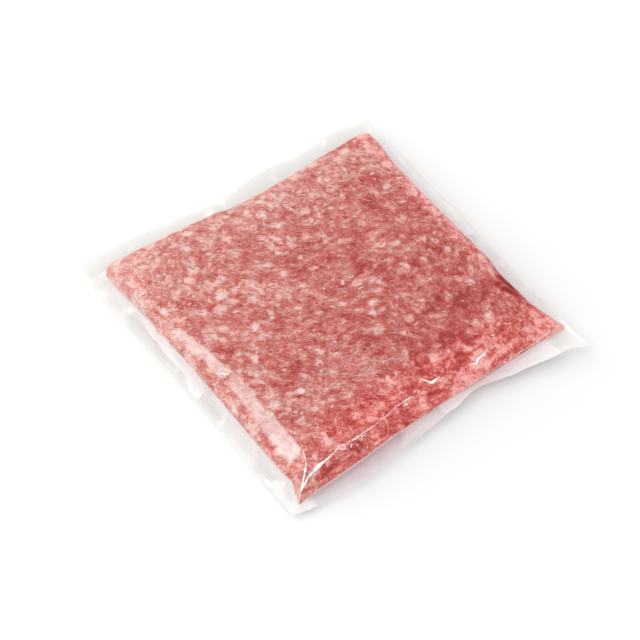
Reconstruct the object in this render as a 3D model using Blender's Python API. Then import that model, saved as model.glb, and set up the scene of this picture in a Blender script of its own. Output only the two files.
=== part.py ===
# A clear vacuum-sealed pouch holding a flat, square slab of minced meat.
# The pouch lies flat. X runs along its front edge, Y goes from front to back and +Z is up.
# The origin is at the middle of the base of the pouch's box, so the floor is the plane z = 0.

import math

import bmesh
import bpy
from mathutils import Vector, noise

MM = 0.001

# Driving dimensions of the filled pouch
SLAB_HEIGHT = 16.2 * MM          # top of the pressed meat above the floor
FILM_THICKNESS = 0.35 * MM       # the two welded webs of film, at the rim
SEAM_HEIGHT = 3.6 * MM           # the seam's height where it leaves the meat
CROWN = 0.7 * MM                 # how much the top is fuller in the middle

# The rim and the slab seen from above. Each side has its distance from the middle of the slab
# at a few places along it: (place along the side, film edge, foot of the meat, shoulder of the
# meat, height of the film edge above the floor), all in millimetres.
FRONT_SIDE = [
    (-100, 101.0, 99.0, 77.0, 3.0),
    (-80, 105.0, 97.0, 84.0, 2.4),
    (-57, 107.0, 95.5, 88.5, 2.4),
    (-20, 101.5, 91.5, 84.5, 3.6),
    (10, 97.0, 90.3, 80.5, 4.6),
    (30, 94.5, 90.0, 80.5, 5.4),
    (56, 97.0, 89.3, 81.5, 5.0),
    (82, 101.5, 89.0, 78.0, 6.0),
    (100, 104.0, 89.5, 72.0, 6.5),
]
RIGHT_SIDE = [
    (-104, 97.0, 95.5, 76.0, 6.5),
    (-82, 97.0, 93.0, 81.0, 5.6),
    (-56, 96.5, 91.8, 85.5, 5.0),
    (-20, 97.5, 90.8, 84.3, 4.4),
    (20, 98.5, 89.3, 82.0, 4.0),
    (55, 96.5, 88.2, 81.0, 3.4),
    (80, 97.0, 89.0, 82.5, 3.2),
    (100, 99.0, 87.5, 80.5, 3.4),
]
BACK_SIDE = [
    (-99, 104.0, 91.0, 83.0, 3.4),
    (-60, 103.5, 91.5, 84.5, 4.6),
    (-15, 98.5, 87.0, 79.8, 3.4),
    (12, 101.5, 87.0, 79.5, 3.6),
    (32, 103.0, 88.0, 80.5, 4.4),
    (52, 101.0, 89.0, 81.5, 3.2),
    (75, 103.0, 90.0, 82.8, 3.8),
    (99, 100.0, 88.5, 81.0, 3.4),
]
LEFT_SIDE = [
    (-100, 97.5, 91.5, 74.0, 3.0),
    (-80, 97.5, 89.5, 77.5, 2.6),
    (-40, 97.5, 87.3, 79.5, 3.8),
    (0, 97.0, 87.5, 79.0, 3.0),
    (40, 99.5, 89.0, 81.0, 4.2),
    (70, 102.5, 91.0, 83.5, 3.0),
    (104, 99.5, 90.0, 82.0, 3.6),
]
EDGE, FOOT, SHOULDER, EDGE_HEIGHT = range(1, 5)

# Corner forms of the slab: how square it is seen from above, and how far its top falls there
ROUND_CORNER = 2.0
PINCHED_CORNER = 5.0
CORNERS = {
    ("front", "left"): (PINCHED_CORNER, 1.0 * MM),
    ("front", "right"): (PINCHED_CORNER, 3.0 * MM),
    ("back", "left"): (ROUND_CORNER, 1.6 * MM),
    ("back", "right"): (ROUND_CORNER, 1.2 * MM),
}
CORNER_FALL_REACH = 15 * MM
HALF_SLAB = 85 * MM              # from the middle of the slab to its shoulder
CORNER_SLOPE = 0.55              # how much a pinched corner slopes instead of rounding over

# How full the wall's round edges are: a power of 2 is an ellipse, more is squarer
ROUND_EDGE = 2.2
ROUND_FOOT = 2.6

# Folds that the film pulls up where it gathers: start, end, height and half width in mm
FOLDS = [
    ((-83, -78), (-95, -98), 1.4, 2.2),
    ((-56, -86), (-93, -97), 1.2, 2.4),
    ((-63, -90), (-36, -88), 1.0, 2.4),
    ((-10, -84), (6, -80), 0.9, 2.4),
    ((42, -81), (62, -83), 0.9, 2.6),
    ((78, -78), (97, -99), 1.3, 2.4),
    ((-80, 34), (-90, 30), 0.8, 2.6),
]
FOLD_END = 0.45                  # a fold's height at its ends, as a share of its middle
FOLD_ON_RIM = 0.2                # how much of a fold is left on the rim
FOLD_FADE = 4                    # a higher power keeps the folds whole further down the wall

# Relief of the pressed mince under the film
LUMP_SIZE = 15 * MM
LUMP_DEPTH = 0.40 * MM
GRAIN_SIZE = 6.5 * MM
GRAIN_DEPTH = 0.35 * MM
GRAIN_LAYER = 50 * MM            # the height in the noise at which the grains are read

# Cells of the grid from the middle outwards: across the slab, its side wall and the rim
SLAB_CELLS = 34
WALL_CELLS = 5
RIM_CELLS = 2


def ease(amount):
    """Goes from 0 to 1 with level ends."""
    amount = min(max(amount, 0.0), 1.0)
    return amount * amount * (3 - 2 * amount)


def along_side(side, place, column):
    """Reads one column of a side's list at a place along it, with a smooth curve."""
    place_mm = place / MM
    for first, last in zip(side, side[1:]):
        if place_mm <= last[0]:
            break
    blend = ease((place_mm - first[0]) / (last[0] - first[0]))
    return (first[column] + (last[column] - first[column]) * blend) * MM


def side_distance(side, place, zone):
    """Distance from the middle: zone 0 to 1 is the slab, 1 to 2 its wall and 2 to 3 the rim."""
    shoulder = along_side(side, place, SHOULDER)
    foot = along_side(side, place, FOOT)
    edge = along_side(side, place, EDGE)
    if zone <= 1:
        return shoulder * zone
    if zone <= 2:
        return shoulder + (foot - shoulder) * (zone - 1)
    return foot + (edge - foot) * (zone - 2)


def zone_of(step, steps):
    """The signed zone of a grid line, numbered from 0 at one edge to steps at the other."""
    from_middle = abs(step - steps / 2)
    half_slab = SLAB_CELLS / 2
    if from_middle <= half_slab:
        zone = from_middle / half_slab
    elif from_middle <= half_slab + WALL_CELLS:
        zone = 1 + (from_middle - half_slab) / WALL_CELLS
    else:
        zone = 2 + (from_middle - half_slab - WALL_CELLS) / RIM_CELLS
    return math.copysign(zone, step - steps / 2)


def plan_point(zone_x, zone_y):
    """The place on the floor plan of a grid point given by its two zones."""
    side_x = RIGHT_SIDE if zone_x > 0 else LEFT_SIDE
    side_y = BACK_SIDE if zone_y > 0 else FRONT_SIDE
    x = math.copysign(side_distance(side_x, 0.0, abs(zone_x)), zone_x)
    y = math.copysign(side_distance(side_y, 0.0, abs(zone_y)), zone_y)
    # The sides curve, so the distances are read again at the place found so far
    for _ in range(3):
        x_next = math.copysign(side_distance(side_x, y, abs(zone_x)), zone_x)
        y_next = math.copysign(side_distance(side_y, x, abs(zone_y)), zone_y)
        x, y = x_next, y_next
    return x, y


def corner_of(zone_x, zone_y):
    """The form of the corner whose quarter of the pouch holds a point."""
    return CORNERS["back" if zone_y > 0 else "front", "right" if zone_x > 0 else "left"]


def wall_position(zone_x, zone_y):
    """0 on the level slab, 1 at the foot of its wall and beyond, with the corner's form."""
    across_x = min(max(abs(zone_x) - 1, 0.0), 1.0)
    across_y = min(max(abs(zone_y) - 1, 0.0), 1.0)
    power = corner_of(zone_x, zone_y)[0]
    return min((across_x ** power + across_y ** power) ** (1 / power), 1.0)


def rim_height(x, y, zone_x, zone_y):
    """Height of the top film on the rim: level at the foot and waving at the cut edge."""
    side_x = RIGHT_SIDE if zone_x > 0 else LEFT_SIDE
    side_y = BACK_SIDE if zone_y > 0 else FRONT_SIDE
    out_x = max(abs(zone_x) - 2, 0.0)
    out_y = max(abs(zone_y) - 2, 0.0)
    outward = max(out_x, out_y)
    if outward == 0:
        return SEAM_HEIGHT
    edge_height = out_x * along_side(side_x, y, EDGE_HEIGHT) + out_y * along_side(side_y, x, EDGE_HEIGHT)
    edge_height /= out_x + out_y
    return SEAM_HEIGHT + (edge_height - SEAM_HEIGHT) * outward


def fold_height(x, y):
    """Height that the folds of the film add at a place: each is lower at its ends."""
    here = Vector((x, y))
    total = 0.0
    for start, end, height, half_width in FOLDS:
        first = Vector(start) * MM
        run = Vector(end) * MM - first
        along = min(max((here - first).dot(run) / run.length_squared, 0.0), 1.0)
        away = (here - first - run * along).length / (half_width * MM)
        arch = FOLD_END + (1 - FOLD_END) * math.sin(math.pi * along)
        total += height * MM * arch * math.exp(-away * away)
    return total


def mince_relief(x, y):
    """Small lumps and grains of the mince, pressed nearly level by the film."""
    lumps = noise.noise(Vector((x, y, 0.0)) / LUMP_SIZE)
    grains = noise.noise(Vector((x, y, GRAIN_LAYER)) / GRAIN_SIZE)
    return LUMP_DEPTH * lumps + GRAIN_DEPTH * grains


def wall_rounding(wall, zone_x, zone_y):
    """Share of the slab's height left on its wall: a round edge, or a slope in a pinched corner."""
    into_corner = min(max(min(abs(zone_x), abs(zone_y)) - 1, 0.0), 1.0)
    pinched = 1 if corner_of(zone_x, zone_y)[0] == PINCHED_CORNER else 0
    return max(1 - wall ** ROUND_EDGE, 0.0) ** (0.5 + CORNER_SLOPE * into_corner * pinched)


def top_height(x, y, zone_x, zone_y):
    """Height of the pouch's upper face."""
    wall = wall_position(zone_x, zone_y)
    rim = rim_height(x, y, zone_x, zone_y)
    corner_fall = corner_of(zone_x, zone_y)[1]
    to_corner = math.hypot(max(1 - abs(zone_x), 0), max(1 - abs(zone_y), 0)) * HALF_SLAB
    fall = corner_fall * math.exp(-(to_corner / CORNER_FALL_REACH) ** 2)
    spread = (min(abs(zone_x), 1) ** 2 + min(abs(zone_y), 1) ** 2) / 2
    slab = SLAB_HEIGHT - CROWN * spread - fall + mince_relief(x, y)
    fold_share = FOLD_ON_RIM + (1 - FOLD_ON_RIM) * (1 - wall ** FOLD_FADE)
    return rim + (slab - rim) * wall_rounding(wall, zone_x, zone_y) + fold_height(x, y) * fold_share


def bottom_height(x, y, zone_x, zone_y, top):
    """Height of the under face: flat on the floor, then rounding up to the rim."""
    wall = wall_position(zone_x, zone_y)
    if wall >= 1:
        return top - FILM_THICKNESS
    return (SEAM_HEIGHT - FILM_THICKNESS) * (1 - math.sqrt(1 - wall ** ROUND_FOOT))


def centre_on_origin(shape):
    """Moves the middle of the pouch's box to x = 0 and y = 0."""
    for axis in (0, 1):
        places = [point.co[axis] for point in shape.verts]
        middle = (min(places) + max(places)) / 2
        for point in shape.verts:
            point.co[axis] -= middle


def make_material(name, colour, roughness):
    """A Principled material with one colour."""
    material = bpy.data.materials.new(name)
    material.use_nodes = True
    shader = material.node_tree.nodes["Principled BSDF"]
    shader.inputs["Base Color"].default_value = (*colour, 1.0)
    shader.inputs["Roughness"].default_value = roughness
    shader.inputs["Metallic"].default_value = 0.0
    return material


def make_pouch():
    """Builds the pouch: one sheet of cells, doubled downwards, and each point set to its height."""
    steps = SLAB_CELLS + 2 * (WALL_CELLS + RIM_CELLS)
    shape = bmesh.new()
    bmesh.ops.create_grid(shape, x_segments=steps, y_segments=steps, size=steps / 2)
    lower = bmesh.ops.extrude_face_region(shape, geom=shape.faces[:])["geom"]
    lower_points = {item for item in lower if isinstance(item, bmesh.types.BMVert)}
    flat_points = set()
    for point in shape.verts:
        zone_x = zone_of(round(point.co.x + steps / 2), steps)
        zone_y = zone_of(round(point.co.y + steps / 2), steps)
        x, y = plan_point(zone_x, zone_y)
        height = top_height(x, y, zone_x, zone_y)
        if point in lower_points:
            height = bottom_height(x, y, zone_x, zone_y, height)
            if height == 0:
                flat_points.add(point)
        point.co = (x, y, height)
    centre_on_origin(shape)
    flat_faces = [face for face in shape.faces if all(point in flat_points for point in face.verts)]
    bmesh.ops.dissolve_faces(shape, faces=flat_faces, use_verts=True)
    bmesh.ops.recalc_face_normals(shape, faces=shape.faces)
    bmesh.ops.triangulate(shape, faces=shape.faces[:], quad_method="SHORT_EDGE", ngon_method="BEAUTY")
    mesh = bpy.data.meshes.new("sealed_pouch")
    shape.to_mesh(mesh)
    shape.free()
    mesh.shade_smooth()
    return mesh


def main():
    for item in list(bpy.data.objects):
        bpy.data.objects.remove(item)
    collection = bpy.data.collections.new("meat_pack")
    bpy.context.scene.collection.children.link(collection)
    pouch = bpy.data.objects.new("sealed_pouch", make_pouch())
    pouch.data.materials.append(make_material("pressed_mince", (0.60, 0.20, 0.17), 0.25))
    collection.objects.link(pouch)


main()
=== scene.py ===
# The looks of a clear vacuum pouch of minced meat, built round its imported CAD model.
# Lengths in the tables are in millimetres. X runs along the front, y from front to back, z is up.

import math

import bpy
import numpy as np
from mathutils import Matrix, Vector


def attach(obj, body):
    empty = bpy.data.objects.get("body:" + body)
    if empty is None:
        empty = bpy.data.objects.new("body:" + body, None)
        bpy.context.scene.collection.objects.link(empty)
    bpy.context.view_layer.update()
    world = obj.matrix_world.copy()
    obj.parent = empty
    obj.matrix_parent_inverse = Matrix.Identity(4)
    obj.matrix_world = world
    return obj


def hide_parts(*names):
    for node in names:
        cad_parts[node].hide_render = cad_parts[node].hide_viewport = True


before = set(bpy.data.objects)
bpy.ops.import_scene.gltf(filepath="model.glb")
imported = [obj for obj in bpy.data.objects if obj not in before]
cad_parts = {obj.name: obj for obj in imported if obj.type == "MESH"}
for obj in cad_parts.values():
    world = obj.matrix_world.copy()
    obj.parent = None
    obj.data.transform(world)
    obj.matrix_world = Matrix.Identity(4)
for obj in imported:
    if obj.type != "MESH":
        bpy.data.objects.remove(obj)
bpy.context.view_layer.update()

MM = 0.001
SHIFT = (1.737, 1.499)           # from the middle of the slab's tables to the frame's origin

# Heights of the filled pouch
SLAB_HEIGHT = 16.2
SEAM_HEIGHT = 3.6
CROWN = 0.7
FULL_DROP = SLAB_HEIGHT - SEAM_HEIGHT
WEB_GAP = 0.22                   # between the two welded webs of film on the rim
FOOT_GAP = 0.6                   # from the film down to the mince at the foot of the wall
TOP_GAP = 0.45                   # from the film down to the mince on top
UNDER_LEVEL = 0.3                # inside of the film where it lies on the floor
UNDER_GAP = 0.25                 # from there up to the mince
UNFOLDING = 0.8                  # how much further the pattern runs on a wall, for each height lost

# The pouch seen from above, as distances from the middle of the slab at places along each side:
# (place, film edge, foot of the meat, lower end of the brow, start of the brow, drop on the brow,
# height of the film edge, fullness of the wall)
FRONT_SIDE = [
    (-100, 101.0, 99.4, 99.0, 70.5, 11.8, 3.0, 0.0),
    (-91.5, 103.0, 98.9, 98.3, 71.5, 11.4, 2.8, 0.0),
    (-86.3, 104.0, 98.0, 94.2, 74.0, 8.8, 2.6, 0.0),
    (-83.5, 104.5, 97.5, 92.8, 75.5, 7.5, 2.5, 0.0),
    (-78.5, 105.1, 97.1, 90.3, 78.0, 5.1, 2.4, 0.0),
    (-68.5, 106.1, 96.4, 89.5, 83.0, 2.6, 2.4, 0.0),
    (-57, 107.0, 95.5, 89.0, 86.5, 0.7, 2.4, 0.0),
    (-48, 105.9, 94.7, 88.8, 86.6, 0.4, 2.7, 0.0),
    (-36, 104.0, 93.3, 87.3, 85.0, 0.4, 3.1, 0.0),
    (-20, 101.5, 91.8, 84.8, 82.5, 0.4, 3.6, 0.05),
    (0, 98.6, 90.8, 84.0, 81.0, 0.5, 4.2, 0.1),
    (10, 97.0, 90.2, 83.0, 77.5, 0.9, 4.6, 0.2),
    (30, 93.6, 89.8, 82.6, 74.0, 1.5, 5.4, 0.3),
    (56, 97.6, 89.0, 83.2, 69.5, 3.0, 5.0, 0.4),
    (82, 101.5, 87.9, 82.6, 64.0, 5.6, 6.0, 0.4),
    (100, 106.0, 87.8, 82.3, 62.0, 7.8, 5.4, 0.3),
]
RIGHT_SIDE = [
    (-104, 98.8, 96.6, 94.8, 79.0, 9.0, 5.4, 0.1),
    (-88.5, 98.0, 96.3, 93.8, 79.0, 8.0, 5.8, 0.1),
    (-80, 97.6, 94.2, 90.2, 79.0, 4.6, 5.6, 0.3),
    (-72, 97.2, 92.4, 86.6, 79.5, 2.0, 5.3, 0.2),
    (-63, 96.8, 91.6, 83.6, 80.2, 0.9, 5.1, 0.0),
    (-52, 96.6, 91.4, 80.8, 78.6, 0.6, 4.9, -0.1),
    (-43, 96.6, 91.0, 79.6, 77.6, 0.5, 4.8, -0.1),
    (-36, 97.0, 90.6, 81.0, 78.6, 0.6, 4.7, 0.2),
    (-28, 97.2, 90.2, 82.6, 79.6, 0.7, 4.5, 0.8),
    (0, 97.6, 89.5, 81.8, 78.4, 0.9, 4.2, 1.0),
    (20, 97.6, 88.8, 81.4, 78.0, 0.9, 4.0, 1.0),
    (55, 96.6, 88.4, 81.4, 77.8, 0.9, 3.4, 1.0),
    (80, 97.0, 91.0, 84.5, 81.0, 0.9, 3.2, 1.0),
    (100, 99.0, 90.7, 83.7, 80.2, 0.9, 3.4, 1.0),
]
BACK_SIDE = [
    (-99, 104.6, 93.4, 86.2, 81.0, 1.5, 3.4, 1.0),
    (-75, 104.4, 93.2, 86.4, 81.2, 1.5, 4.0, 1.0),
    (-58, 103.4, 92.0, 85.6, 80.5, 1.5, 4.2, 1.0),
    (-35, 101.0, 90.6, 84.0, 79.0, 1.5, 3.6, 1.0),
    (-20, 99.6, 89.6, 83.0, 78.0, 1.5, 3.4, 1.0),
    (-11, 99.3, 87.8, 81.0, 76.0, 1.5, 3.4, 1.0),
    (0, 99.2, 87.3, 80.4, 75.4, 1.5, 3.5, 1.0),
    (13, 102.2, 87.4, 80.4, 75.4, 1.5, 3.8, 1.0),
    (30, 103.4, 88.0, 81.0, 76.0, 1.5, 4.2, 1.0),
    (46, 101.2, 89.0, 82.2, 77.2, 1.5, 3.6, 1.0),
    (60, 102.4, 90.0, 83.4, 78.4, 1.5, 3.4, 1.0),
    (78, 103.4, 91.2, 84.6, 79.6, 1.5, 3.6, 1.0),
    (99, 100.4, 91.2, 84.2, 79.2, 1.5, 3.4, 1.0),
]
LEFT_SIDE = [
    (-100, 97.5, 91.8, 84.5, 78.8, 5.5, 3.0, 0.0),
    (-92, 97.5, 88.9, 81.5, 76.1, 5.0, 2.8, 0.0),
    (-84.6, 97.5, 86.0, 79.5, 74.8, 4.6, 2.6, 0.0),
    (-78, 97.5, 86.9, 80.8, 73.2, 3.4, 2.6, 0.1),
    (-66, 97.5, 87.3, 82.0, 72.8, 3.2, 2.9, 0.2),
    (-40, 97.5, 87.4, 82.8, 73.0, 3.4, 3.8, 0.2),
    (-22, 97.3, 87.4, 82.4, 73.6, 3.1, 3.4, 0.2),
    (-13, 97.2, 87.4, 80.8, 75.6, 2.0, 3.2, 0.3),
    (-4, 97.0, 87.5, 84.4, 77.0, 2.8, 3.0, 0.4),
    (14, 98.0, 88.0, 85.8, 77.0, 2.8, 3.4, 0.6),
    (28, 98.8, 88.5, 86.6, 76.5, 3.0, 3.9, 0.8),
    (45, 99.8, 89.0, 87.0, 76.0, 3.2, 4.0, 0.9),
    (62, 100.6, 89.8, 87.6, 76.4, 3.2, 3.6, 1.0),
    (80, 101.6, 91.2, 88.8, 77.2, 3.2, 3.2, 1.0),
    (104, 99.5, 91.8, 89.0, 77.4, 3.2, 3.6, 1.0),
]
EDGE, FOOT, BROW_END, BROW_START, BROW_DROP, EDGE_HEIGHT, FULLNESS = range(7)

# How a flat and a full side bend: the brow, then the wall near its top and near its foot
FLAT_BENDS = (1.25, 1.2, 0.9)
FULL_BENDS = (1.9, 2.3, 0.5)

# The back corners are round in plan and the front corners are pinched between flat faces
ROUND_POWERS = (4.4, 7.0)        # right and left: the higher, the squarer the corner
PINCH_BLEND = 0.035              # width of the soft edge between the faces, as a share of the height

# How far the top sinks at each corner of the slab, by the side that the corner is on in x and y
CORNER_FALLS = {(1, 1): 1.2, (-1, 1): 1.6, (-1, -1): 0.3, (1, -1): 1.8}
CORNER_FALL_REACH = 15.0
HALF_SLAB = 82.0                 # from its middle to its sides

ZONE_GUESS = 25.0                # width of a zone of the grid before the sides' lists are read
READINGS = 8                     # how often they are read for each grid
UNDER_START = 0.35               # share of the height lost where the underside starts to round up
UNDER_POWER = 2.6                # the higher, the later it leaves the floor


def ease(amount):
    """Goes from 0 to 1 with level ends."""
    amount = np.clip(amount, 0.0, 1.0)
    return amount * amount * (3 - 2 * amount)


NOISE_TABLES = {seed: np.random.RandomState(seed).uniform(-1, 1, (256, 256)) for seed in range(100)}


def noise_cells(x, y, size, seed):
    """Random heights at the corners of each place's cell, and how far right and up in it the place is."""
    table = NOISE_TABLES[seed]
    column = np.floor(x / size).astype(int)
    row = np.floor(y / size).astype(int)
    corners = [table[(row + up) & 255, (column + right) & 255] for up in (0, 1) for right in (0, 1)]
    return corners, x / size - column, y / size - row


def smooth_noise(x, y, size, seed):
    """Smooth random heights between -1 and 1, with lumps of about the given size."""
    (low_left, low_right, high_left, high_right), right, up = noise_cells(x, y, size, seed)
    right, up = ease(right), ease(up)
    near = low_left * (1 - right) + low_right * right
    far = high_left * (1 - right) + high_right * right
    return near * (1 - up) + far * up


def facet_noise(x, y, size, seed):
    """Random heights between -1 and 1 over flat triangles, like stiff film that has been crumpled."""
    bend_x = x + 0.45 * size * smooth_noise(x, y, size * 1.7, seed + 1)
    bend_y = y + 0.45 * size * smooth_noise(x, y, size * 1.7, seed + 2)
    (low_left, low_right, high_left, high_right), right, up = noise_cells(bend_x, bend_y, size, seed)
    under = low_left + (low_right - low_left) * right + (high_right - low_right) * up
    over = low_left + (high_left - low_left) * up + (high_right - high_left) * right
    return np.where(right > up, under, over)


def read_side(side, place):
    """The columns of a side's list at places along it."""
    table = np.array(side, float)
    index = np.clip(np.searchsorted(table[:, 0], place) - 1, 0, len(table) - 2)
    first = table[index]
    last = table[index + 1]
    blend = ease((place - first[..., 0]) / (last[..., 0] - first[..., 0]))[..., None]
    return (first + (last - first) * blend)[..., 1:]


def side_columns(x, y):
    """The columns of the left or right side, and of the front or back side, that rule each place."""
    across = np.where((x > 0)[..., None], read_side(RIGHT_SIDE, y), read_side(LEFT_SIDE, y))
    along = np.where((y > 0)[..., None], read_side(BACK_SIDE, x), read_side(FRONT_SIDE, x))
    return across, along


def share_lost(columns, distance):
    """Share of the height above the seam that a side's brow and wall take off at a distance."""
    fullness = columns[..., FULLNESS]
    bends = [flat + (full - flat) * fullness for flat, full in zip(FLAT_BENDS, FULL_BENDS)]
    brow_power, inner, outer = bends
    brow_start, brow_end, foot = columns[..., BROW_START], columns[..., BROW_END], columns[..., FOOT]
    brow = np.clip((distance - brow_start) / (brow_end - brow_start), 0, 1)
    wall = np.clip((distance - brow_end) / (foot - brow_end), 0, 1)
    drop = columns[..., BROW_DROP] / FULL_DROP
    return drop * brow ** brow_power + (1 - drop) * (1 - (1 - wall ** inner) ** outer)


def shape_lost(x, y):
    """Share of the height lost at each place, with both sides joined at the corners."""
    across, along = side_columns(x, y)
    lost_x = share_lost(across, np.abs(x))
    lost_y = share_lost(along, np.abs(y))
    # Front corners: the lower of the two faces, with a soft edge between them
    gap = np.abs(lost_x - lost_y)
    soft = np.clip(1 - gap / (3 * PINCH_BLEND), 0, 1) ** 2 * PINCH_BLEND * 0.5
    pinched = np.minimum(np.maximum(lost_x, lost_y) + soft * (np.minimum(lost_x, lost_y) > 0), 1)
    # Back corners: one round wall
    width_x = across[..., FOOT] - across[..., BROW_START]
    width_y = along[..., FOOT] - along[..., BROW_START]
    part_x = np.clip((np.abs(x) - across[..., BROW_START]) / width_x, 0, 1)
    part_y = np.clip((np.abs(y) - along[..., BROW_START]) / width_y, 0, 1)
    power = np.where(x > 0, *ROUND_POWERS)
    part = np.minimum((part_x ** power + part_y ** power) ** (1 / power), 1)
    turned_x = share_lost(across, across[..., BROW_START] + part * width_x)
    turned_y = share_lost(along, along[..., BROW_START] + part * width_y)
    weight = part_x ** 2 / np.maximum(part_x ** 2 + part_y ** 2, 1e-9)
    rounded = turned_x * weight + turned_y * (1 - weight)
    return np.where(y > 0, rounded, pinched), lost_x, lost_y


def mince_relief(x, y):
    """Lumps and grains of the mince, pressed nearly level by the film."""
    coarse = 0.30 * smooth_noise(x, y, 13, 11) + 0.20 * smooth_noise(x, y, 4.2, 12)
    return coarse + 0.08 * smooth_noise(x, y, 1.9, 13)


def slab_height(x, y):
    """Height of the pouch's top before its sides fall away."""
    spread = ((x / HALF_SLAB) ** 2 + (y / HALF_SLAB) ** 2) / 2
    height = SLAB_HEIGHT - CROWN * np.clip(spread, 0, 1.2)
    for (side_x, side_y), fall in CORNER_FALLS.items():
        away = np.hypot(x - side_x * HALF_SLAB, y - side_y * HALF_SLAB)
        height = height - fall * np.exp(-(away / CORNER_FALL_REACH) ** 2)
    return height


def rim_height(x, y):
    """Height of the film on the rim: level at the foot, waving and faceted at the cut edge."""
    across, along = side_columns(x, y)
    out_x, out_y = rim_places(x, y)
    weight = out_x / np.maximum(out_x + out_y, 1e-9)
    edge_height = across[..., EDGE_HEIGHT] * weight + along[..., EDGE_HEIGHT] * (1 - weight)
    outward = np.maximum(out_x, out_y)
    facets = 0.75 * facet_noise(x, y, 13, 31) + 0.25 * smooth_noise(x, y, 5, 34)
    return SEAM_HEIGHT + (edge_height - SEAM_HEIGHT) * outward + facets * ease(outward * 1.6) * 1.3


# Sharp creases that the film pulls up where it gathers: points, height and half width
CREASES = [
    ([(-75.2, -80.0), (-76.8, -84.6), (-80.2, -88.3), (-84.3, -92.0), (-88.0, -95.1), (-91.2, -98.7)],
     0.55, 1.1),
    ([(-57, -88.4), (-63.1, -88.7), (-73.8, -89.8), (-80.5, -91.5), (-86.3, -94.1)], 0.55, 1.1),
    ([(-56, -86), (-48.2, -88.7), (-38.0, -87.1), (-23.9, -85.4), (-10, -83.7), (-0.5, -83.9)], 0.5, 1.0),
    ([(4.6, -77.4), (6.9, -81.0), (9.2, -82.0), (14.3, -81.3)], 0.5, 1.2),
    ([(34.8, -80.4), (35.8, -84.5), (39.1, -83), (46.5, -81.6)], 0.5, 1.1),
    ([(81, -37.4), (80.4, -43.0), (81.6, -52.0), (84.4, -62.0)], 0.45, 1.0),
    ([(-90.4, 58.2), (-88.7, 61.4), (-88.9, 63.9)], 0.4, 1.0),
    ([(-88.7, 61.4), (-85.2, 60.4), (-83.1, 60.5)], 0.4, 1.0),
    ([(-82.6, -8.0), (-80.2, -11.0), (-78.6, -13.5), (-76.0, -13.5)], 0.5, 1.2),
]


def crease_height(x, y):
    """Height that the sharp creases add at a place."""
    total = np.zeros_like(x)
    for points, height, half_width in CREASES:
        nearest = np.full_like(x, 1e9)
        for (start_x, start_y), (end_x, end_y) in zip(points, points[1:]):
            run_x, run_y = end_x - start_x, end_y - start_y
            along = ((x - start_x) * run_x + (y - start_y) * run_y) / (run_x ** 2 + run_y ** 2)
            along = np.clip(along, 0, 1)
            away = np.hypot(x - start_x - run_x * along, y - start_y - run_y * along)
            nearest = np.minimum(nearest, away)
        total = np.maximum(total, height * np.exp(-(nearest / half_width) ** 1.4))
    return total


def top_surface(x, y, film):
    """Height of the upper face of the film, or of the mince just under it, and the unfolded place."""
    lost, lost_x, lost_y = shape_lost(x, y)
    unfolded_x = x + np.sign(x) * lost_x * FULL_DROP * UNFOLDING
    unfolded_y = y + np.sign(y) * lost_y * FULL_DROP * UNFOLDING
    relief = mince_relief(unfolded_x, unfolded_y)
    slab = slab_height(x, y)
    rim = rim_height(x, y)
    if film:
        height = rim + (slab + 0.5 * relief - rim) * (1 - lost) + crease_height(x, y)
    else:
        height = SEAM_HEIGHT - FOOT_GAP + (slab - TOP_GAP + relief - SEAM_HEIGHT + FOOT_GAP) * (1 - lost)
    return height, unfolded_x, unfolded_y


def grid_zones(cells):
    """Signed zones of the grid lines: 0 to 1 slab, 1 to 2 brow, 2 to 3 wall and 3 to 4 rim."""
    outward = np.concatenate([zone + np.arange(1, count + 1) / count for zone, count in enumerate(cells)])
    return np.concatenate([-outward[::-1], [0.0], outward])


def zone_distance(columns, zone):
    """Distance from the middle at a zone."""
    stops = [np.zeros_like(zone)]
    stops += [columns[..., column] for column in (BROW_START, BROW_END, FOOT, EDGE)]
    distance = np.zeros_like(zone)
    for index, (inner, outer) in enumerate(zip(stops, stops[1:])):
        distance += (outer - inner) * np.clip(zone - index, 0, 1)
    return distance


def plan_grid(zones_x, zones_y):
    """Places on the floor plan of a grid of zones. The sides curve, so they are read again."""
    zone_x, zone_y = np.meshgrid(zones_x, zones_y)
    x = zone_x * ZONE_GUESS
    y = zone_y * ZONE_GUESS
    for _ in range(READINGS):
        across = np.where((zone_x > 0)[..., None], read_side(RIGHT_SIDE, y), read_side(LEFT_SIDE, y))
        along = np.where((zone_y > 0)[..., None], read_side(BACK_SIDE, x), read_side(FRONT_SIDE, x))
        x = np.sign(zone_x) * zone_distance(across, np.abs(zone_x))
        y = np.sign(zone_y) * zone_distance(along, np.abs(zone_y))
    return x, y


def round_back_corners(x, y):
    """Draws grid places beyond the round back corners in to the foot of the wall."""
    across, along = side_columns(x, y)
    start_x, start_y = across[..., BROW_START], along[..., BROW_START]
    part_x = np.clip((np.abs(x) - start_x) / (across[..., FOOT] - start_x), 0, None)
    part_y = np.clip((np.abs(y) - start_y) / (along[..., FOOT] - start_y), 0, None)
    power = np.where(x > 0, *ROUND_POWERS)
    part = (part_x ** power + part_y ** power) ** (1 / power)
    pull = np.where((part > 1) & (part_x > 0) & (part_y > 0) & (y > 0), 1 / np.maximum(part, 1), 1.0)
    near_x = np.where(np.abs(x) > start_x, start_x + (np.abs(x) - start_x) * pull, np.abs(x))
    near_y = np.where(np.abs(y) > start_y, start_y + (np.abs(y) - start_y) * pull, np.abs(y))
    return np.sign(x) * near_x, np.sign(y) * near_y


def under_height(x, y, top, gap):
    """Height of the under face: flat on the floor, then rounding up to the seam."""
    lost, _, _ = shape_lost(x, y)
    part = np.clip((lost - UNDER_START) / (1 - UNDER_START), 0, 1)
    rounding = 1 - np.sqrt(1 - part ** UNDER_POWER)
    return np.where(lost >= 1, top - gap, (SEAM_HEIGHT - gap) * rounding)


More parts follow.
